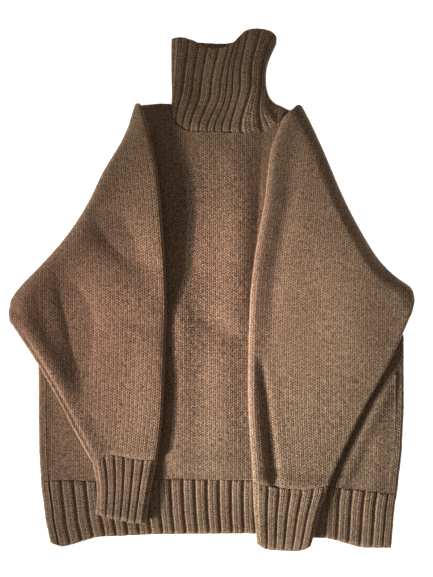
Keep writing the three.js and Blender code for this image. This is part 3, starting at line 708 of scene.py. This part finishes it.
# For each sleeve: its lines in plan, the wales and courses of what shows, the air inside at the crease, in the
# middle and at the seam, how far from the crease the cloth begins to turn down, and its folds.
SLEEVES = dict(
    left=dict(
        raglan=raglan_left, outwards=-1, out=(-0.85, 0.53), out_at_seam=(-0.92, -0.38),
        fold=[(-114, 297), (-121, 270), (-133, 240), (-165, 182), (-190, 131), (-224, 79), (-268, 29), (-291, 4),
              (-313, -19)],
        crease=[(-114, 297), (-101, 262), (-92, 222), (-84, 176), (-78, 112), (-71, -16), (-73, -96), (-78, -208),
                (-86, -270)],
        seam=[(-313, -19), (-319, -45), (-303, -73), (-276, -118), (-250, -163), (-218, -224), (-190, -274)],
        wrist=[(-86, -270), (-122, -268), (-160, -262), (-190, -274)],
        shoulder=[(-324, -30), (-319, -12), (-306, 6), (-278, 35), (-233, 86), (-199, 138), (-174, 189),
                  (-140, 246), (-131, 270), (-127, 284), (-123, 293), (-118, 298), (-113, 297.5)],
        underarm=[(-324, -30), (-322, -46), (-306, -72), (-276, -118), (-250, -163), (-218, -224), (-190, -274)],
        straight=-78, wales=(0, 39), courses=(-70, 76), tip=(-119, 298), elbow=(-324, -30), ends=(-323.6, -60),
        air=(6.0, 6.5, 9.0), roll=6.4, folds=[
            dict(name="puff of the shoulder", along=[(-112, 280), (-106, 250)], width=18, rise=3),
            dict(name="roll along the inner edge", along=[(-100, 266), (-89, 208), (-81, 150), (-77, 84), (-76, 30)],
                 width=34, rise=7.2),
            dict(name="roll of the forearm", along=[(-84, -110), (-88, -170), (-98, -266)], width=36, rise=5),
            dict(name="thin edge over the belly", along=[(-72, -20), (-70, -70), (-74, -130)], width=12, rise=-2.5),
            dict(name="trough beside the seam", along=[(-238, 14), (-216, -44), (-208, -100), (-203, -146)],
                 width=21, rise=-8.5),
            dict(name="groove of the underarm seam", along=[(-314, -46), (-299, -70), (-269, -116), (-243, -161),
                                                            (-211, -222), (-184, -270)], width=3.6, rise=-3.2),
            dict(name="rim of the elbow", along=[(-294, 0), (-292, -54), (-264, -100), (-232, -158)], width=19,
                 rise=6),
            dict(name="slack over the pull", along=[(-190, 124), (-150, 84), (-104, 34)], width=28, rise=-7),
            dict(name="hollow of the upper arm", along=[(-140, 262), (-158, 200), (-160, 150), (-140, 100),
                                                        (-124, 64)], width=30, rise=-3.5),
            dict(name="pull from the crease", along=[(-210, 12), (-160, 4), (-98, -14)], width=15, rise=0.8),
            dict(name="second pull", along=[(-150, -44), (-118, -54), (-84, -66)], width=9, rise=-1.2),
            dict(name="dip at the elbow", along=[(-226, 30), (-204, -34), (-188, -84)], width=30, rise=-5),
        ]),
    right=dict(
        raglan=raglan_right, outwards=1, out=(0.86, 0.51), out_at_seam=(0.95, -0.3),
        fold=[(132, 290), (144, 270), (168, 221), (200, 144), (226, 93), (258, 42), (285, 15), (311, -8)],
        crease=[(132, 290), (118, 280), (103, 248), (94, 224), (84, 144), (70, 64), (62, 0), (58, -96), (58, -192),
                (62, -256), (65, -304)],
        seam=[(311, -8), (318, -32), (307, -60), (286, -109), (238, -197), (206, -264), (186, -310)],
        wrist=[(65, -304), (94, -311), (142, -316), (186, -310)],
        shoulder=[(130, 290), (137, 296), (142, 296), (153, 278), (177, 227), (210, 150), (236, 99), (268, 48),
                  (294, 22), (319, 3), (324, -12)],
        underarm=[(186, -310), (206, -264), (238, -197), (286, -109), (310, -56), (321, -29), (324, -12)],
        straight=72, wales=(0, 41), courses=(-79, 76), tip=(139, 296), elbow=(324, -12), ends=(50, 323.6),
        air=(9.0, 6.0, 4.6), roll=11, folds=[
            dict(name="dip beside the roll", along=[(128, 190), (122, 140), (113, 92), (102, 40), (94, -40)], width=15,
                 rise=-3.5),
            dict(name="deep crease", along=[(77, -110), (82, -150), (88, -204), (95, -262), (102, -322)], width=8,
                 rise=-5),
            dict(name="deep crease at the cuff", along=[(90, -226), (97, -272), (103, -322)], width=8, rise=-3.5),
            dict(name="roll beside the crease", along=[(66, -170), (71, -240), (80, -316)], width=12, rise=1.6),
            dict(name="slack beside the crease", along=[(104, -110), (112, -180), (116, -250)], width=26,
                 rise=-1.5),
            dict(name="swell of the upper arm", along=[(180, 160), (212, 80), (232, 10), (236, -70)], width=50,
                 rise=6),
            dict(name="swell of the forearm", along=[(240, -84), (218, -160), (180, -276)], width=46, rise=1.2),
        ]))


def sleeve_rest(x, y):
    """The lowest that a folded sleeve lies: on the front or the hem's ribs, and drooping past the hem."""
    edge = hem_edge(x)
    on = np.maximum(y, edge)
    swells = fold_heights([fold for fold in FRONT_FOLDS if fold["rise"] > 0 and "beside" not in fold], x, on)
    over_hem = (GROOVED + RIB - WALL + 0.6) * ease((rib_start(x) + 22 - y) / 20)
    return 2 * WALL + body_air(x, on) + swells + over_hem + LIE - np.maximum(0, edge - y) * 0.2


def ring_shares(width, airs, spans):
    """Places round a flattened tube: shares across and turns, for its outer and its inner face."""
    start, end = (WALL + air / 2 for air in airs)
    upper = np.linspace(start / width, 1 - end / width, spans + 1)
    outer, inner = [], []
    for u in upper:
        outer.append((u, 2 * WALL, 1)), inner.append((u, WALL, 1))
    for angle in TURN:
        outer.append((1 - end * (1 - math.sin(angle)) / width, end * (1 + math.cos(angle)), 0))
        inner.append((1 - (end - airs[1] / 2 * math.sin(angle)) / width, end + airs[1] / 2 * math.cos(angle), 0))
    for u in upper[::-1]:
        outer.append((u, 0, 0)), inner.append((u, WALL, 0))
    for angle in TURN[::-1]:
        outer.append((start * (1 - math.sin(angle)) / width, start * (1 + math.cos(angle)), 0))
        inner.append(((start - airs[0] / 2 * math.sin(angle)) / width, start + airs[0] / 2 * math.cos(angle), 0))
    return np.array(outer), np.array(inner)


def length_of(line):
    return np.linalg.norm(np.diff(line, axis=0), axis=1).sum()


def arm_air(arm, x, y, from_crease, from_seam, grown):
    """Air inside the folded sleeve at a place, with its folds."""
    crease, inside, seam = arm["air"]
    edge = np.where(from_crease < from_seam, crease, seam)
    base = mix(edge, inside, ease((np.minimum(from_crease, from_seam) - WALL) / 34))
    return np.maximum(mix(YOKE_AIR, base + fold_heights(arm["folds"], x, y), grown), LEAST_AIR)


def make_sleeve(name, arm):
    """One sleeve: a coarse hidden tube from the raglan seam over the fold to the wrist, and the knitting that
    shows on top of it."""
    fold, wrist = smooth_line(arm["fold"]), smooth_line(arm["wrist"])
    crease, seam = smooth_line(arm["crease"]), smooth_line(arm["seam"])
    raglan = arm["raglan"][::-1]
    way = np.gradient(raglan, axis=0)
    way /= np.linalg.norm(way, axis=1)[:, None]
    raglan = raglan + np.stack([-way[:, 1], way[:, 0]], -1) * RAGLAN_GAP * -arm["outwards"]
    spans = 12
    knitting = Knitting()
    outer, inner = [], []

    def ring(width, airs, place):
        for rows, points in zip((outer, inner), ring_shares(width, airs, spans)):
            rows.append(place(points[:, 0], points[:, 1], points[:, 2]))

    def at_raglan(u, high, upper):
        plan = along(raglan, u)
        return np.column_stack([plan, 2 * WALL + YOKE_AIR - high - upper * YOKE_AIR])

    # Three stretches of rings: one at the raglan seam, then over the fold, then along the front to the wrist.
    ring(length_of(raglan), (YOKE_AIR, YOKE_AIR), at_raglan)
    turns = np.radians([0, 20, 40, 60, 90, 120, 150, 180])
    for turn in turns:
        def on_fold(u, high, upper):
            far = PIVOT + high + upper * YOKE_AIR
            bulge = mix(np.array(arm["out"]), np.array(arm["out_at_seam"]), ease((u - 0.86) / 0.14)[:, None])
            plan = along(fold, u) + bulge * (far * math.sin(turn))[:, None]
            return np.column_stack([plan, FOLD_HEIGHT - far * math.cos(turn)])

        ring(length_of(fold), (YOKE_AIR, YOKE_AIR), on_fold)
    to_cuff = 0.9988  # it ends a little short of the cuff
    for v in np.linspace(0, 1, 26)[1:] * to_cuff:
        grown = ease(v / 0.14)
        airs = [mix(YOKE_AIR, arm["air"][0], grown), mix(YOKE_AIR, arm["air"][2], grown)]
        width = length_of(stretched(fold, wrist, crease, seam, np.linspace(0, 1, 40), np.full(40, v)))

        def on_front(u, high, upper):
            plan = stretched(fold, wrist, crease, seam, u, np.full(len(u), v))
            x, y = plan.T
            air = arm_air(arm, x, y, u * width, (1 - u) * width, grown)
            return np.column_stack([plan, sleeve_rest(x, y) + high + upper * air])

        ring(width, airs, on_front)
    a, b = knitting.add(outer), knitting.add(inner)
    last_round = 4  # the row at 60 degrees round the fold
    under_from, under_to = spans + 3, 2 * spans + 5
    closed_a, closed_b = np.hstack([a, a[:, :1]]), np.hstack([b, b[:, :1]])
    keep = np.zeros((len(outer) - 1, a.shape[1]), bool)
    keep[:last_round] = True
    keep[:, under_from:under_to] = True
    knitting.weave(closed_a, keep)
    knitting.weave(closed_b, np.ones_like(keep))
    knitting.faces += np.stack([closed_a[0, :-1], closed_a[0, 1:], closed_b[0, 1:], closed_b[0, :-1]], -1).tolist()

    # The knitting that shows, from the crease to the fold and the underarm seam.
    line = crease[np.argsort(crease[:, 1])]
    shoulder, underarm = smooth_line(arm["shoulder"]), smooth_line(arm["underarm"])
    wrist_up = wrist[np.argsort(wrist[:, 0])]
    reach = (underarm[:, 0].min(), underarm[:, 0].max())

    def wale_x(wale, y):
        far = wale * STITCH[0]
        return mix(arm["straight"], np.interp(y, line[:, 1], line[:, 0]), np.exp(-far / 130)) + arm["outwards"] * far

    def lower(x):
        arm_line = np.interp(x, underarm[:, 0], underarm[:, 1])
        cuff_line = np.interp(x, wrist_up[:, 0], wrist_up[:, 1]) + WRIST_GAP
        return np.where((x > reach[0]) & (x < reach[1]), arm_line, cuff_line)

    plan, stitches, faces, loop, columns, rows, inside = cover(
        wale_x, arm["wales"], arm["courses"], low=lower,
        high=lambda x: np.interp(x, shoulder[:, 0], shoulder[:, 1]),
        left=lambda y: arm["ends"][0] + 0 * y, right=lambda y: arm["ends"][1] + 0 * y)
    loop = np.array(loop)

    def nearest(place):
        return int(np.argmin(np.linalg.norm(plan[loop] - place, axis=1)))

    corners = [crease[-1], arm["tip"], arm["elbow"], seam[-1]]
    starts = [nearest(corner) for corner in corners]
    if (starts[1] - starts[0]) % len(loop) > len(loop) / 2:
        loop = loop[::-1]
        starts = [len(loop) - 1 - start for start in starts]
    loop = np.roll(loop, -starts[0])
    starts = [(start - starts[0]) % len(loop) for start in starts]
    sides = [loop[starts[i]:starts[i + 1] + 1] for i in range(3)]
    wrist_side = np.append(loop[starts[3]:], loop[0])
    to_crease, to_fold, to_seam = (distance(plan, plan[side[::4]]) for side in sides)
    to_wrist = distance(plan, plan[wrist_side])
    x, y = plan.T
    rest = sleeve_rest(x, y)
    grown = ease(to_fold / 24)
    top = rest + 2 * WALL + arm_air(arm, x, y, to_crease, to_seam, grown)
    share = (1 / (to_fold + 1) ** 2) / (1 / (to_fold + 1) ** 2 + 1 / (to_seam + 1) ** 2 + 1 / (to_crease + 1) ** 2)
    middle_height = mix((rest + top) / 2, FOLD_HEIGHT, share)
    round_off = 1.0
    for far, radius in ((to_crease, arm["roll"]), (to_seam, SEAM_ROLL), (to_fold, FOLD_ROLL)):
        round_off = round_off * np.sqrt(1 - (1 - np.minimum(1, far / radius)) ** 2)
    relief, lean = yarn(columns, rows)
    near = np.minimum.reduce([to_crease, to_fold, to_seam, to_wrist])
    relief = np.where(inside, relief * ease((near + 1) / 4), 0)
    lean = np.where(inside, lean, 0)
    height = middle_height + (top - middle_height) * round_off + relief
    height = height - WRIST_DIP * np.exp(-(to_wrist / WRIST_DIP_WIDTH) ** 2)
    ids = knitting.add(np.column_stack([x + lean, y, height]), stitches)
    knitting.faces += [[int(ids[corner]) for corner in face] for face in faces]
    around = np.concatenate([a[last_round, under_to:], a[last_round, :under_from + 1]])
    knitting.zip(ids[sides[0]], a[last_round:, under_to][::-1])
    knitting.zip(ids[sides[1]], around)
    knitting.zip(ids[sides[2]], a[last_round:, under_from])
    rim = np.concatenate([a[-1, under_from:under_to + 1][::-1], ids[wrist_side]])
    knitting.zip(rim, np.roll(b[-1][::-1], under_to - b.shape[1] + 1), closed=True)
    knitting.piece(name, sleeve_wool)


sleeve_wool = wool("wool_sleeves")
make_sleeve("sleeve_left", SLEEVES["left"])
make_sleeve("sleeve_right", SLEEVES["right"])

# ------------------------------------------------------------------------------------------
# The two cuffs. Each is a short tube of 2x2 ribbing, knitted on at the wrist and cast off at
# its open end. The left one lies on the hem, and the right one reaches a little past it.
# ------------------------------------------------------------------------------------------
CUFF_RIBS, CUFF_ROWS = 6, 42
CUFF_START = 0.006  # the share of its length at which it begins, just past the sleeve
CUFFS = dict(
    left=dict(crease=[(-86, -270), (-95, -312), (-105, -371)], seam=[(-190, -274), (-183, -312), (-184, -356)],
              edge=[(-105, -371), (-130, -369), (-162, -362), (-184, -356)]),
    right=dict(crease=[(65, -304), (67, -350), (72, -404)], seam=[(186, -310), (172, -354), (158, -408)],
               edge=[(72, -404), (84, -412), (112, -415), (142, -415), (158, -408)]))


def ribbed_tube(knitting, upper, under, ribs, rows, air_at, rest, places=None, depth=lambda u: 1 + 0 * u):
    """A flattened tube of ribbing. upper and under give places in plan at shares across and along, air_at the air
    inside, rest the height it lies at, places where its grooves are, and depth how deep its grooves are."""
    share, crown, relief, lean, stitches = ribbing(ribs, rows, places)
    v = np.linspace(0, 1, rows + 1)[:, None]
    spread = upper(np.linspace(0, 1, 40)[None, :] + 0 * v, v + np.zeros(40))
    width = np.linalg.norm(np.diff(spread, axis=1), axis=2).sum(1)[:, None]
    airs = [air_at(0 * v, v), air_at(0 * v + 1, v)]
    radii = [WALL + air / 2 for air in airs]
    from_, to = radii[0] / width, 1 - radii[1] / width
    u = mix(from_, to, share[None, :])
    air = air_at(u, v)
    # The ribs grow over the first six rows and end in three.
    soft = np.minimum(mix(0.45, 1, ease(v * rows / 6)), mix(0.3, 1, ease((1 - v) * rows / 3)))
    parts = [(u, WALL + air + GROOVED + (RIB * crown * depth(u) + relief) * soft, u, WALL + air, 0 * u,
              stitches + np.zeros((rows + 1, 1, 1)), lean + 0 * u)]

    def turned(side):
        for angle in TURN if side else TURN[::-1]:
            far = radii[side] * (1 - math.sin(angle)) / width
            inner_far = (radii[side] - airs[side] / 2 * math.sin(angle)) / width
            at, inner_at = (1 - far, 1 - inner_far) if side else (far, inner_far)
            high = radii[side] * (1 + math.cos(angle))
            inner_high = radii[side] + airs[side] / 2 * math.cos(angle)
            parts.append((at, high, inner_at, inner_high, 0 * at + angle / math.pi, None, 0 * at))

    turned(1)
    # The lower layer has flatter ribs, with the crowns on the floor.
    low_crown = np.append(np.tile(ACROSS_RIB[::2, 1], ribs), 0)[::-1][None, :]
    low_u = mix(from_, to, share[::2][::-1][None, :])
    parts.append((low_u, (1 - low_crown) * 1.6 * ease(v * 8) + 0 * low_u, low_u, GROOVED + 1.8 * low_crown + 0 * low_u,
                  0 * low_u + 1, None, 0 * low_u))
    turned(0)
    outer, inner, places_at = [], [], []
    for at, high, inner_at, inner_high, turn, own, lean_by in parts:
        for rows_of, shares, heights in ((outer, at, high), (inner, inner_at, inner_high)):
            along_ = v + 0 * shares
            plan = mix(upper(shares, along_), under(shares, along_), ease(turn * 2)[..., None])
            if rows_of is outer:
                plan = plan + np.stack([lean_by, 0 * lean_by], -1)
            rows_of.append(np.concatenate([plan, (rest(plan[..., 0], plan[..., 1]) + heights)[..., None]], -1))
        if own is None:
            own = np.stack([at * width / STITCH[0], np.arange(rows + 1)[:, None] / 2 + 0 * at], -1)
        places_at.append(own)
    outer, inner, places_at = (np.concatenate(grid, axis=1) for grid in (outer, inner, places_at))
    knitting.wall(outer, inner, places_at, tube=True)


def cuff_air(u, v):
    return 2.4 - 1.4 * v + 0 * u


def make_cuff(name, side):
    """One cuff, from the wrist of its sleeve to its cast-off edge."""
    start, edge = smooth_line(SLEEVES[side]["wrist"]), smooth_line(CUFFS[side]["edge"])
    crease, seam = smooth_line(CUFFS[side]["crease"]), smooth_line(CUFFS[side]["seam"])

    def sheet(u, v):
        return stretched(start, edge, crease, seam, u, mix(CUFF_START, 1, v))

    knitting = Knitting()
    ribbed_tube(knitting, sheet, sheet, CUFF_RIBS, CUFF_ROWS, cuff_air, sleeve_rest)
    knitting.piece(name, lightened_rib_wool)


make_cuff("cuff_left", "left")
make_cuff("cuff_right", "right")

# ------------------------------------------------------------------------------------------
# The collar. It is a tall tube of 2x2 ribbing, knitted on round the neckline. It lies flat and
# leans to the right, where its ribs fan out, and its mouth shows the inside of its back.
# ------------------------------------------------------------------------------------------
COLLAR_GROOVES = [0, 0.13, 0.223, 0.303, 0.407, 0.498, 0.568, 0.637, 0.717, 0.82, 0.947, 1]
COLLAR_ROWS = 68
COLLAR_SPAN = (0.09, 0.985)  # the shares of the neckline from which and to which it stands
COLLAR_GAP = 0.4  # between it and the neckline
# Where lines across the collar's mouth, at the first shares, start on the neckline: the ribs stand upright
# over it before they lean to the right.
AT_MOUTH, AT_NECK = [0, 0.13, 0.5, 0.82, 0.947, 1], [0, 0.085, 0.35, 0.61, 0.80, 1]
COLLAR = dict(
    front=dict(left=[(-65, 330)],
               right=[(113, 293), (102, 298), (94, 307), (89, 320), (87, 336), (88, 354), (93, 371)],
               top=[(-65, 404), (-48, 405), (-30, 400), (-10, 390), (9, 387), (29, 391), (41, 402), (54, 414),
                    (72, 417.5), (88, 416), (98, 412), (103.5, 405), (104, 396)]),
    back=dict(left=[(-65, 350)],
              right=[(113, 295), (102, 300), (94, 308), (89, 320), (87, 336), (88, 354), (93, 371)],
              top=[(-65, 402), (-34, 399), (28, 397), (46, 403), (72, 410), (90, 408), (104, 396)]))
COLLAR_FOLDS = [
    dict(name="dip at the left", along=[(-24, 420), (-24, 330), (-14, 270)], width=24, rise=-2.5),
    dict(name="swell at the right", along=[(62, 440), (52, 330), (58, 270)], width=32, rise=7.5),
]


def collar_sheet(layer, neck):
    """Where the collar's front or back layer lies in plan, at shares across it and up it."""
    lines = COLLAR[layer]
    base = along(smooth_line(neck), np.linspace(*COLLAR_SPAN, 60)) + (0, COLLAR_GAP)
    top = smooth_line(lines["top"])
    left = smooth_line([base[0], *lines["left"], top[0]])
    right = smooth_line([base[-1], *lines["right"], top[-1]])

    def sheet(u, v):
        return stretched(base, top, left, right, mix(np.interp(u, AT_MOUTH, AT_NECK), u, ease(v * 2)), v)

    return sheet


collar_front, collar_back = collar_sheet("front", NECK_FRONT), collar_sheet("back", NECK_BACK)


def collar_air(u, v):
    """Air inside the collar: the neckline's own at its foot, and its own folds above."""
    x, y = np.moveaxis(collar_front(u, v + 0 * u), -1, 0)
    above = mix(1.6, 4.4, ease(np.minimum(u, 1 - u) * 4)) + fold_heights(COLLAR_FOLDS, x, y)
    return mix(body_air(x, y) + fold_heights(FRONT_FOLDS, x, y), above, ease(v * 3))


collar = Knitting()
ribbed_tube(collar, collar_front, collar_back, len(COLLAR_GROOVES) - 1, COLLAR_ROWS, collar_air,
            rest=lambda x, y: 0 * x, places=COLLAR_GROOVES,
            depth=lambda u: mix(1.15, 0.8, ease(np.minimum(u, 1 - u) * 3)))
collar.piece("collar", lightened_rib_wool)
